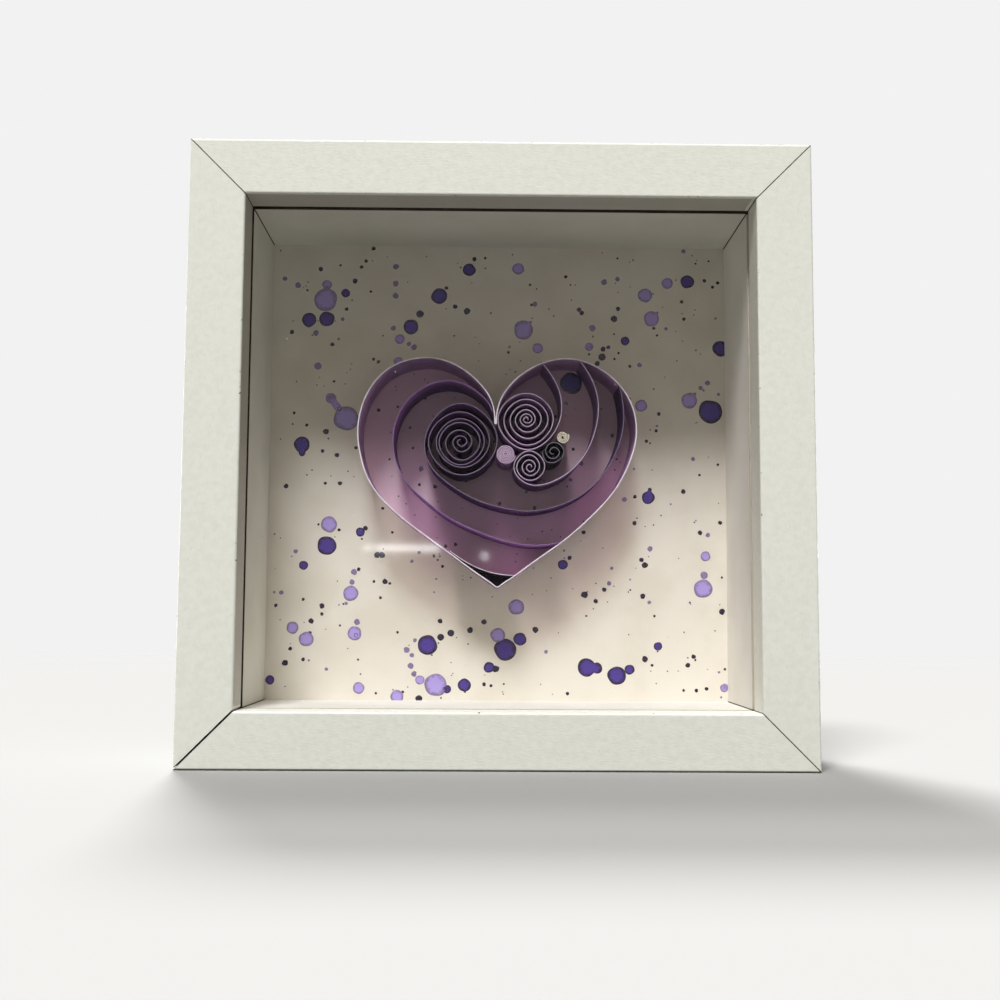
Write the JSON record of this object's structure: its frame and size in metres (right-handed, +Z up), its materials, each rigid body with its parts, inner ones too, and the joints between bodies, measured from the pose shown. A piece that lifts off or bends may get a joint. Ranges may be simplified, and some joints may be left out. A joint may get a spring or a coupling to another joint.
{
  "type": "framed quilled paper art",
  "caption": "Deep square box frame, glazed, holding a quilled paper heart of standing strips and coils on a card spattered with paint drops.",
  "frame": {"origin": "middle of the underside of the bottom rail, halfway between its front and back faces", "axes": "+Z up, -Y towards the viewer of the picture, +X to the viewer's right"},
  "size_m": [0.15, 0.05, 0.15],
  "materials": {
    "wrapped_rail": "off-white paper foil wrapped round fibreboard",
    "spacer_board": "off-white paper foil on thin fibreboard",
    "clear_glass": "clear float glass",
    "dark_paint": "dry acrylic drops, dark violet",
    "lilac_paint": "dry acrylic drops, lilac",
    "cream_card": "smooth cream card",
    "fibre_board": "brown hardboard",
    "plain_steel": "plain sheet steel",
    "lilac_paper": "lilac quilling paper",
    "violet_paper": "violet quilling paper",
    "plum_paper": "dark plum quilling paper with a lighter edge",
    "heather_paper": "heather quilling paper with a pale edge",
    "pink_paper": "pale pink quilling paper",
    "cream_paper": "cream quilling paper"
  },
  "bodies": {
    "root": {"rail_bottom": "wrapped_rail", "rail_left": "wrapped_rail", "rail_top": "wrapped_rail", "rail_right": "wrapped_rail", "spacer_bottom": "spacer_board", "spacer_left": "spacer_board", "spacer_top": "spacer_board", "spacer_right": "spacer_board", "glass_pane": "clear_glass", "paint_drops_dark": "dark_paint", "paint_drops_lilac": "lilac_paint", "backing_card": "cream_card", "back_board": "fibre_board", "retaining_points": "plain_steel", "corner_nails": "plain_steel", "sawtooth_hanger": "plain_steel", "hanger_pins": "plain_steel", "outline_left_strip": "lilac_paper", "outline_right_strip": "lilac_paper", "left_swirl": "violet_paper", "tip_strip": "lilac_paper", "big_coil": "plum_paper", "right_coil": "heather_paper", "small_coil": "heather_paper", "dark_coil": "plum_paper", "pink_tight_coil": "pink_paper", "white_tight_coil": "cream_paper"}
  },
  "joints": []
}
